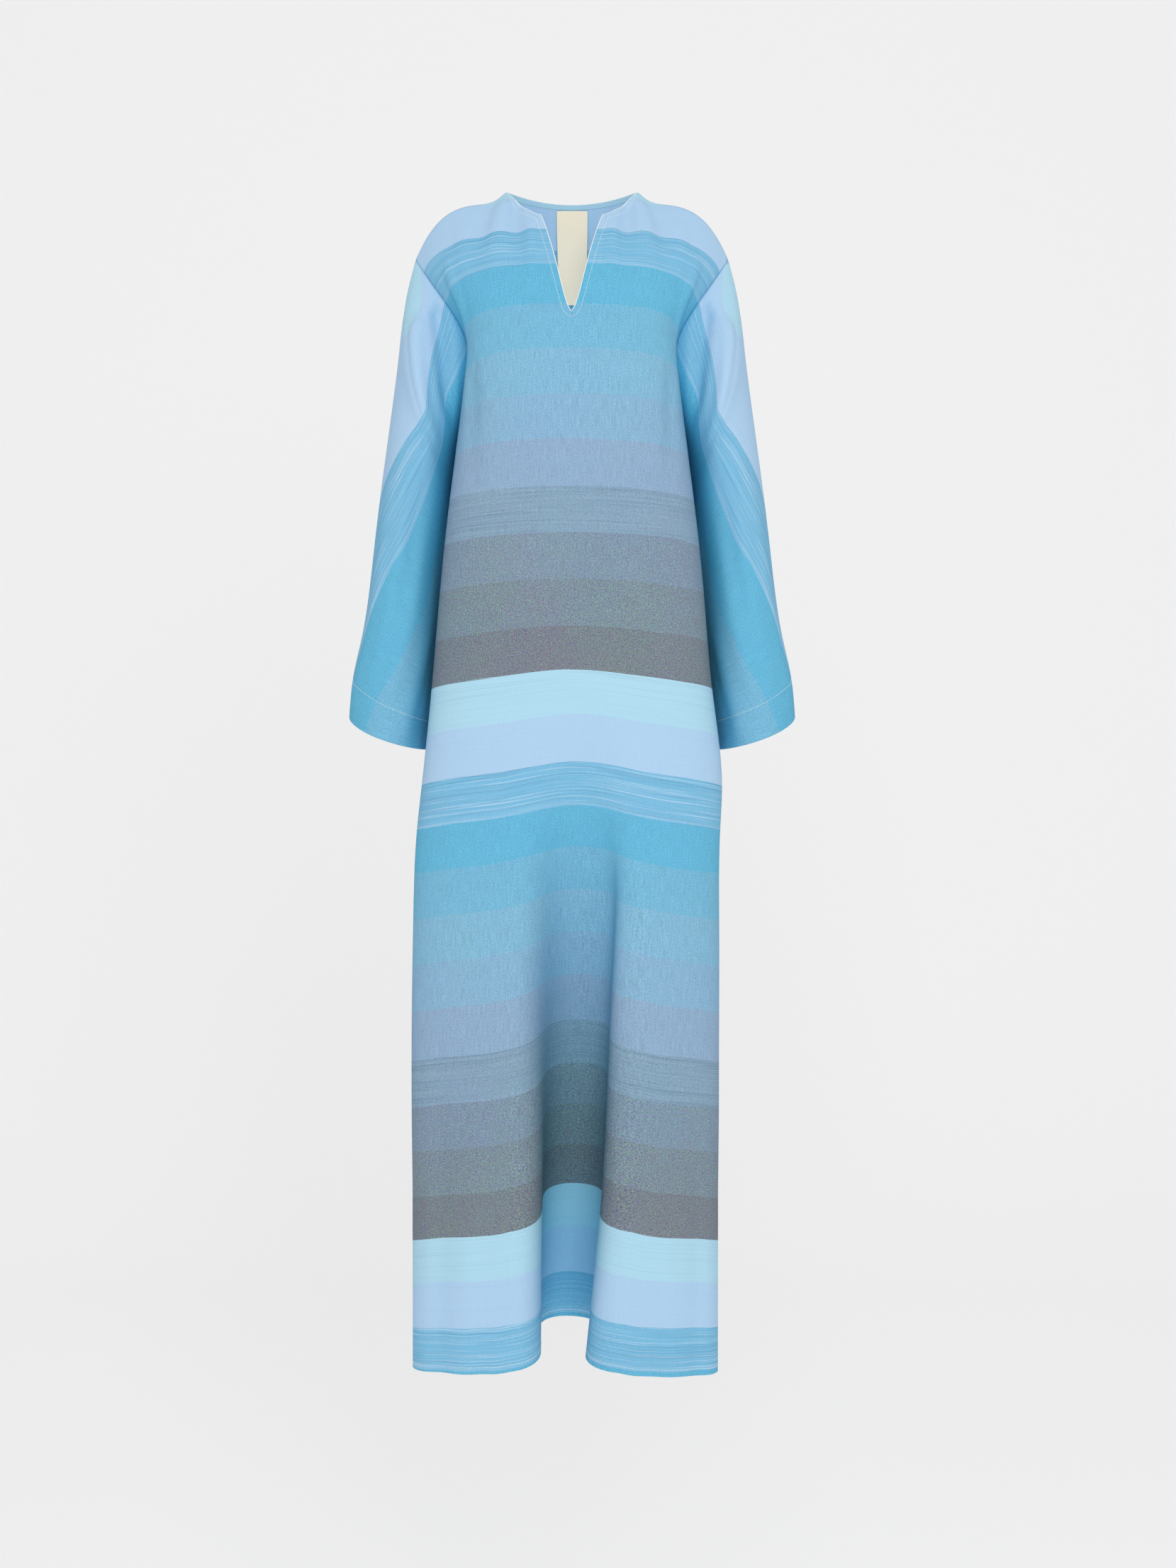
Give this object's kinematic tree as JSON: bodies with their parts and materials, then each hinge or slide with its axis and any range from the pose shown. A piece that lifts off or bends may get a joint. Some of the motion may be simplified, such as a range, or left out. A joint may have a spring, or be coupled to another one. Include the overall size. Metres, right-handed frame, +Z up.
{
  "type": "kaftan",
  "caption": "Full-length hollow kaftan with slit neck, wide long sleeves and side slits, in weft-banded handloom cotton, filled out as if worn.",
  "frame": {"origin": "mid-way between the two neck points, level with them, where the wearer's shoulders carry the garment", "axes": "+Z up along the garment's length, -Y the front, +X to the right as seen from the front"},
  "size_m": [0.5364, 0.2517, 1.398],
  "materials": {
    "banded_cotton": "matte, slubby plain weave in equal weft bands of sky blue, pale blue and blue grey",
    "facing_cotton": "matte cotton, the same cloth cut as a narrow strip",
    "tape_cotton": "soft cream cotton tape, bare"
  },
  "bodies": {
    "root": {"front": "banded_cotton", "back": "banded_cotton", "sleeve_front_left": "banded_cotton", "sleeve_back_left": "banded_cotton", "sleeve_front_right": "banded_cotton", "sleeve_back_right": "banded_cotton", "facing_front": "facing_cotton", "facing_back": "facing_cotton", "neck_tape": "tape_cotton"}
  },
  "joints": []
}
